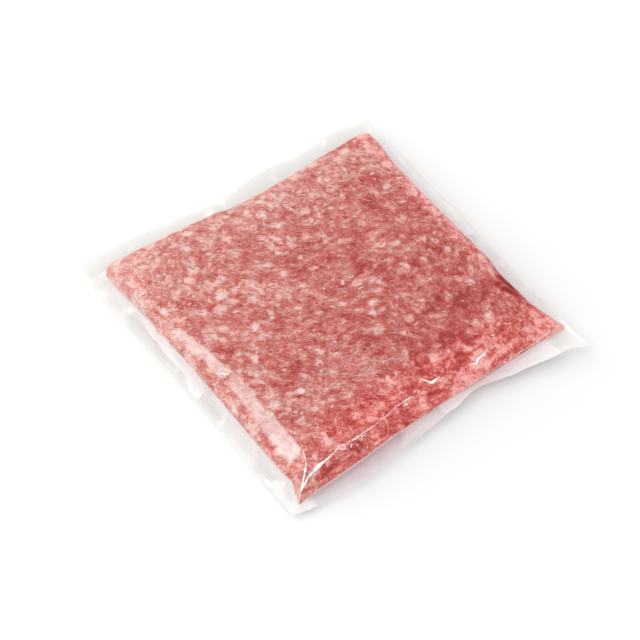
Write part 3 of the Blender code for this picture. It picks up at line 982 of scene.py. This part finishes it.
# Colours of the mince from its darkest red to its palest fat, each with the share that is darker
MINCE_COLOURS = [
    (0.001, (0.270, 0.018, 0.016)),
    (0.01, (0.350, 0.036, 0.032)),
    (0.05, (0.420, 0.058, 0.050)),
    (0.15, (0.448, 0.092, 0.079)),
    (0.30, (0.492, 0.122, 0.103)),
    (0.50, (0.520, 0.155, 0.132)),
    (0.70, (0.555, 0.207, 0.176)),
    (0.85, (0.585, 0.262, 0.230)),
    (0.95, (0.640, 0.345, 0.304)),
    (0.99, (0.690, 0.410, 0.374)),
    (0.9985, (0.740, 0.490, 0.450)),
]
RAMP_SPREAD = 0.15               # one standard deviation of the pattern, as a share of the ramp
MINCE_CONTRAST = 1.2             # how much more strongly than that the layers vary

# What the mince's colours are multiplied by: where it is grey or fresh, and where it is most lively
GREY_CAST = (0.95, 1.12, 1.13)
FRESH_CAST = (1.07, 0.80, 0.79)
PLAIN_CAST = (1.0, 1.0, 1.0)
LIVELY_CAST = (1.12, 0.99, 1.01)

SIDE_TURN = math.radians(54.7)   # from the streaks across the middle to those along the right side

# Layers of the mince's pattern: kind, size along, across and in depth, detail and weight
MINCE_LAYERS = [
    ("noise", (15, 11, 11), 2, 0.40),
    ("noise", (6.0, 4.6, 4.6), 8, 0.82),
    ("blobs", (8.0, 6.6, 6.6), 0, 0.46),
    ("blobs", (4.4, 3.6, 3.6), 0, 0.32),
    ("flakes", (3.0, 2.4, 2.4), 0, 0.16),
    ("noise", (1.4, 1.0, 1.0), 5, 0.78),
    ("fibres", (4.4, 0.7, 0.9), 4, 0.54),
    ("wisps", (4.2, 3.2, 3.2), 2, 0.26),
    ("wisps", (2.2, 1.7, 1.7), 2, 0.24),
]

# The middle and the spread of the values that each kind of layer gives
LAYER_RANGES = {
    "noise": (0.5, 0.115),
    "fibres": (0.5, 0.115),
    "flakes": (0.5, 0.29),
    "blobs": (0.16, 0.27),
    "wisps": (0.1, 1.0),
}


def deviation(share):
    """How many standard deviations from the middle a share of random values lies below."""
    low, high = -4.0, 4.0
    for _ in range(40):
        middle = (low + high) / 2
        if (1 + math.erf(middle / math.sqrt(2))) / 2 < share:
            low = middle
        else:
            high = middle
    return middle


def layer_value(tree, kind, place, turned_place, stretch, detail):
    """One layer of the mince's pattern: smooth lumps, cut flakes, round blobs, fibres or thin wisps."""
    squeeze = tuple(1 / length for length in stretch)
    spot = move_place(tree, "MULTIPLY", place, squeeze)
    if kind in ("flakes", "blobs"):
        node = add_node(tree, "ShaderNodeTexVoronoi", {"Vector": spot, "Scale": 1.0})
        value = add_node(tree, "ShaderNodeSeparateColor", {0: node.outputs["Color"]}).outputs[0]
        if kind == "flakes":
            return value
        shown = soft_step(tree, value, 0.52, 0.72)
        return calculate(tree, "MULTIPLY", shown, soft_step(tree, node.outputs["Distance"], 0.58, 0.18))
    if kind == "fibres":
        value = noise_node(tree, spot, 1, detail, 0.6, 0.4).outputs[0]
        turned_spot = move_place(tree, "MULTIPLY", turned_place, squeeze)
        turned_value = noise_node(tree, turned_spot, 1, detail, 0.6, 0.4).outputs[0]
        change = calculate(tree, "SUBTRACT", turned_value, value)
        return calculate(tree, "MULTIPLY_ADD", change, read_attribute(tree, "turned"), value)
    if kind == "noise":
        return noise_node(tree, spot, 1, detail, 0.62, 0.3).outputs[0]
    line = noise_node(tree, spot, 1, detail, 0.5, 0.8).outputs[0]
    line = calculate(tree, "ABSOLUTE", calculate(tree, "SUBTRACT", line, 0.5))
    return soft_step(tree, line, 0.022, 0.0)


def wander(tree, flow, size, detail, roughness, reach):
    """A random way to move each place of the pattern by."""
    shift = noise_node(tree, flow, 1 / size, detail, roughness).outputs["Color"]
    return move_place(tree, "MULTIPLY", move_place(tree, "SUBTRACT", shift, (0.5, 0.5, 0.5)), (reach,) * 3)


def mince_pattern(tree, flow, fresh_part):
    """How pale each place is, from the layers: 0.5 is the mean."""
    place = move_place(tree, "ADD", flow, wander(tree, flow, 13, 1, 0.5, 7))
    place = move_place(tree, "ADD", place, wander(tree, flow, 2.6, 3, 0.65, 1.7))
    sockets = {"Vector": place, "Angle": SIDE_TURN}
    turned_place = add_node(tree, "ShaderNodeVectorRotate", sockets, rotation_type="Z_AXIS").outputs[0]
    # The mesh's paleness carries painted light and shade as well as the mince's own tone
    total = calculate(tree, "MULTIPLY_ADD", read_attribute(tree, "paleness_and_light"), RAMP_SPREAD, 0.5)
    for kind, stretch, detail, weight in MINCE_LAYERS:
        value = layer_value(tree, kind, place, turned_place, stretch, detail)
        middle, spread = LAYER_RANGES[kind]
        gain = MINCE_CONTRAST * weight / spread * RAMP_SPREAD
        total = calculate(tree, "MULTIPLY_ADD", calculate(tree, "SUBTRACT", value, middle), gain, total)
    # The fresh part also has the strongest contrast
    contrast = calculate(tree, "MULTIPLY_ADD", fresh_part, 0.35, 1.0)
    return calculate(tree, "MULTIPLY_ADD", calculate(tree, "SUBTRACT", total, 0.5), contrast, 0.5)


def mince_ramp(tree, total):
    """The colour of the mince for how pale it is."""
    ramp = add_node(tree, "ShaderNodeValToRGB", {0: total})
    stops = ramp.color_ramp.elements
    for index, (share, colour) in enumerate(MINCE_COLOURS):
        where = 0.5 + deviation(share) * RAMP_SPREAD
        stop = stops[index] if index < 1 else stops.new(where)
        stop.position = where
        stop.color = (*colour, 1)
    # A new ramp has a stop at each end, and the one at its upper end isn't used
    stops.remove(stops[-1])
    return ramp.outputs[0]


def mince_material():
    """Pressed mince: flakes of red meat and pale fat, smeared and combed in one direction."""
    material, tree, output = new_material("pressed_mince")
    flow = read_attribute(tree, "flow", "Vector")
    fresh_part = read_attribute(tree, "fresh")
    total = mince_pattern(tree, flow, fresh_part)
    # Some places are a fresher red and others greyer
    fresh = noise_node(tree, flow, 1 / 7, 3, 0.6).outputs[0]
    fresh = calculate(tree, "MULTIPLY_ADD", calculate(tree, "SUBTRACT", fresh, 0.5), 1.6, 0.38)
    fresh = soft_step(tree, calculate(tree, "MULTIPLY_ADD", fresh_part, 0.45, fresh), 0.0, 1.0)
    cast = mix_colour(tree, fresh, GREY_CAST, FRESH_CAST)
    lively = mix_colour(tree, fresh_part, PLAIN_CAST, LIVELY_CAST)
    colour = move_place(tree, "MULTIPLY", move_place(tree, "MULTIPLY", mince_ramp(tree, total), cast), lively)
    bump = add_node(tree, "ShaderNodeBump", {"Height": total, "Distance": 0.5 * MM, "Strength": 0.5})
    sockets = {"Base Color": colour, "Normal": bump.outputs[0], "Roughness": 0.5, "Specular IOR Level": 0.0}
    shader = add_node(tree, "ShaderNodeBsdfPrincipled", sockets)
    tree.links.new(shader.outputs[0], output.inputs["Surface"])
    return material


# Tints of the film: clear, grey, and pink in the painted shade of the slab with light bounced off the mince
CLEAR_TINT = (0.984, 0.983, 0.980)
CLOUD_TINT = (0.945, 0.942, 0.930)
PINK_SHADE_TINT = (0.945, 0.882, 0.905)
FOLD_TINT = (0.985, 0.984, 0.980)

# Colours of the film where it is milky and partly painted light, milky in the painted pink shade, in the
# painted reflection along the left brow, and folded double, which is partly a painted highlight
MILK_AND_LIGHT_COLOUR = (0.915, 0.905, 0.895)
MILKY_PINK_SHADE_COLOUR = (0.92, 0.79, 0.82)
SHEEN_COLOUR = (0.97, 0.82, 0.79)
FOLD_HIGHLIGHT_COLOUR = (1.0, 0.97, 0.965)

FILM_MIRROR = 0.033              # share of the light that the film mirrors when seen straight on
FILM_HAZE = 0.16                 # roughness of that mirror
DULLING = 0.95                   # share of it that is gone where the film lies sunk


def fold_highlight_material(name):
    """Doubled film seen on edge: mostly white and glossy, a little see-through; the white is partly a painted
    highlight.
    """
    material, tree, output = new_material(name)
    thickness = noise_node(tree, read_attribute(tree, "flow", "Vector"), 1 / 3.5, 2, 0.5).outputs[0]
    cover = soft_step(tree, thickness, 0.34, 0.62, 0.22, 0.92)
    clear = add_node(tree, "ShaderNodeBsdfTransparent", {"Color": (*FOLD_TINT, 1)})
    white = add_node(tree, "ShaderNodeBsdfPrincipled", {"Base Color": (*FOLD_HIGHLIGHT_COLOUR, 1), "Roughness": 0.35})
    blend = add_node(tree, "ShaderNodeMixShader", {0: cover, 1: clear.outputs[0], 2: white.outputs[0]})
    tree.links.new(blend.outputs[0], output.inputs["Surface"])
    return material


def film_bump(tree, flow):
    """Fine wrinkles and ripples of the film."""
    squeezed = move_place(tree, "MULTIPLY", flow, (0.35, 0.6, 0.6))
    wrinkle = noise_node(tree, squeezed, 1, 3, 0.6, 1.0).outputs[0]
    ripple = noise_node(tree, flow, 1 / 1.6, 2, 0.6).outputs[0]
    height = calculate(tree, "MULTIPLY_ADD", ripple, 0.25, wrinkle)
    sockets = {"Height": height, "Distance": 0.12 * MM, "Strength": 0.5}
    return add_node(tree, "ShaderNodeBump", sockets).outputs[0]


def film_mirror(tree, dull):
    """Share of the light that the film mirrors: it grows steeply towards a grazing view."""
    facing = add_node(tree, "ShaderNodeLayerWeight", {"Blend": 0.5}).outputs["Facing"]
    grazing = calculate(tree, "POWER", facing, 5.0)
    mirror = calculate(tree, "MULTIPLY_ADD", grazing, 1 - FILM_MIRROR, FILM_MIRROR)
    return calculate(tree, "MULTIPLY", mirror, calculate(tree, "MULTIPLY_ADD", dull, -DULLING, 1.0))


def film_material(name):
    """Clear film: it mirrors by angle, and hazes and whitens what is behind it a little, with painted light,
    shade and reflection in places.
    """
    material, tree, output = new_material(name)
    flow = read_attribute(tree, "flow", "Vector")
    cloud, pink_shade, milk_and_light, sheen, dull = [
        read_attribute(tree, key) for key in ("cloud", "pink_shade", "milk_and_light", "sheen", "dull")
    ]
    bump = film_bump(tree, flow)
    # Light goes through, tinted, or is mirrored
    tint = mix_colour(tree, cloud, CLEAR_TINT, CLOUD_TINT)
    clear = add_node(tree, "ShaderNodeBsdfTransparent", {"Color": mix_colour(tree, pink_shade, tint, PINK_SHADE_TINT)})
    gloss_sockets = {"Base Color": (1, 1, 1, 1), "Metallic": 1.0, "Roughness": FILM_HAZE, "Normal": bump}
    gloss = add_node(tree, "ShaderNodeBsdfPrincipled", gloss_sockets)
    mirror = film_mirror(tree, dull)
    shiny = add_node(tree, "ShaderNodeMixShader", {0: mirror, 1: clear.outputs[0], 2: gloss.outputs[0]})
    # The milky share of the film hides what is behind it, and so do its painted light, painted pink shade and
    # painted reflection along the left brow
    mottle = noise_node(tree, flow, 1 / 3.2, 4, 0.6, 0.5).outputs[0]
    mottled = calculate(tree, "MULTIPLY", sheen, calculate(tree, "MULTIPLY_ADD", mottle, 1.2, 0.4))
    sheen_cover = soft_step(tree, mottled, 0.1, 2.2, 0.006, 0.60)
    cover = calculate(tree, "MAXIMUM", calculate(tree, "MULTIPLY_ADD", pink_shade, 0.1, milk_and_light), sheen_cover)
    colour = mix_colour(tree, pink_shade, MILK_AND_LIGHT_COLOUR, MILKY_PINK_SHADE_COLOUR)
    colour = mix_colour(tree, soft_step(tree, sheen, 0.0, 0.5), colour, SHEEN_COLOUR)
    white_sockets = {"Base Color": colour, "Roughness": 0.35, "Normal": bump}
    white = add_node(tree, "ShaderNodeBsdfPrincipled", white_sockets)
    milky = add_node(tree, "ShaderNodeMixShader", {0: cover, 1: shiny.outputs[0], 2: white.outputs[0]})
    tree.links.new(milky.outputs[0], output.inputs["Surface"])
    return material


def plain_material(name, colour, roughness):
    """A plain matte material for the stage."""
    material, tree, output = new_material(name)
    shader = add_node(tree, "ShaderNodeBsdfPrincipled", {"Base Color": (*colour, 1), "Roughness": roughness})
    tree.links.new(shader.outputs[0], output.inputs["Surface"])
    return material


def dress(piece, material):
    """Gives a piece its material and fixes it to the pouch, whose solid it stands for."""
    piece.data.materials.append(material)
    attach(piece, "root")
    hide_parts("sealed_pouch")


# Camera of the photo, in metres, its lens in millimetres: it looks down over the front left corner
CAMERA_TARGET = Vector((-0.007763, -0.001001, 0.0))
CAMERA_DISTANCE = 1.4469
CAMERA_ELEVATION = math.radians(52.24)
CAMERA_AZIMUTH = math.radians(-35.33)
CAMERA_LENS = 146.25


def add_camera():
    """The camera, which looks at its target from the photo's side."""
    camera = bpy.data.cameras.new("camera")
    camera.lens = CAMERA_LENS
    camera.sensor_width = 36.0
    camera.clip_start = 0.05
    item = bpy.data.objects.new("camera", camera)
    level = math.cos(CAMERA_ELEVATION)
    back = Vector((
        math.sin(CAMERA_AZIMUTH) * level,
        -math.cos(CAMERA_AZIMUTH) * level,
        math.sin(CAMERA_ELEVATION),
    ))
    item.location = CAMERA_TARGET + back * CAMERA_DISTANCE
    item.rotation_euler = back.to_track_quat("Z", "Y").to_euler()
    bpy.context.scene.collection.objects.link(item)
    bpy.context.scene.camera = item


# Softboxes: name, direction from the pouch, distance and size in metres, and brightness of the face
LAMPS = [
    ("back_lamp", (-0.12, 0.85, 0.50), 1.3, 0.9, 2.05),
    ("left_lamp", (-0.75, 0.20, 0.55), 1.3, 0.9, 1.85),
    ("low_lamp", (-0.33, 0.85, 0.28), 1.3, 0.7, 1.45),
    ("front_lamp", (-0.45, -0.85, 0.20), 1.6, 0.55, 5.5),
]


def add_softbox(name, direction, distance, size, radiance):
    """A square lamp that faces the pouch from a direction, with a given brightness of its face."""
    lamp = bpy.data.lights.new(name, "AREA")
    lamp.shape = "SQUARE"
    lamp.size = size
    lamp.energy = radiance * math.pi * size * size
    item = bpy.data.objects.new(name, lamp)
    item.location = Vector(direction).normalized() * distance
    item.rotation_euler = Vector(direction).to_track_quat("Z", "Y").to_euler()
    bpy.context.scene.collection.objects.link(item)


FLOOR_COLOUR = (0.775, 0.775, 0.772)
FLOOR_REACH = 3.0
FLOOR_LEVEL = -0.0002


def add_stage():
    """A plain pale floor and a soft, even sky."""
    mesh = bpy.data.meshes.new("floor")
    signs = ((-1, -1), (1, -1), (1, 1), (-1, 1))
    corners = [(x * FLOOR_REACH, y * FLOOR_REACH, FLOOR_LEVEL) for x, y in signs]
    mesh.from_pydata(corners, [], [(0, 1, 2, 3)])
    floor = bpy.data.objects.new("floor", mesh)
    bpy.context.scene.collection.objects.link(floor)
    mesh.materials.append(plain_material("floor_white", FLOOR_COLOUR, 0.9))
    world = bpy.data.worlds.new("sky")
    world.use_nodes = True
    background = world.node_tree.nodes["Background"]
    background.inputs["Color"].default_value = (1, 1, 1, 1)
    background.inputs["Strength"].default_value = 1.0
    bpy.context.scene.world = world


# Cells of each shell's sheets from the middle outwards: slab, brow, wall and, for the film, the rim
MINCE_CELLS = (76, 8, 12)
MINCE_UNDER_CELLS = (38, 4, 6)
FILM_CELLS = (80, 10, 14, 16)
FILM_UNDER_CELLS = (40, 5, 14, 16)

GRAIN_COUNT = 300
THREAD_COUNT = 130

film_look = film_material("clear_film")
mince_look = mince_material()
dress(make_shell("mince_block", MINCE_CELLS, MINCE_UNDER_CELLS, False), mince_look)
dress(make_grains("fat_grains", GRAIN_COUNT, 71), mince_look)
dress(make_threads("white_threads", THREAD_COUNT, 72), mince_look)
dress(make_folds_and_glints("film_folds_and_glints"), fold_highlight_material("film_fold_highlight"))
dress(make_shell("clear_film", FILM_CELLS, FILM_UNDER_CELLS, True), film_look)
add_camera()
for lamp in LAMPS:
    add_softbox(*lamp)
add_stage()
bpy.context.scene.view_settings.view_transform = "Standard"
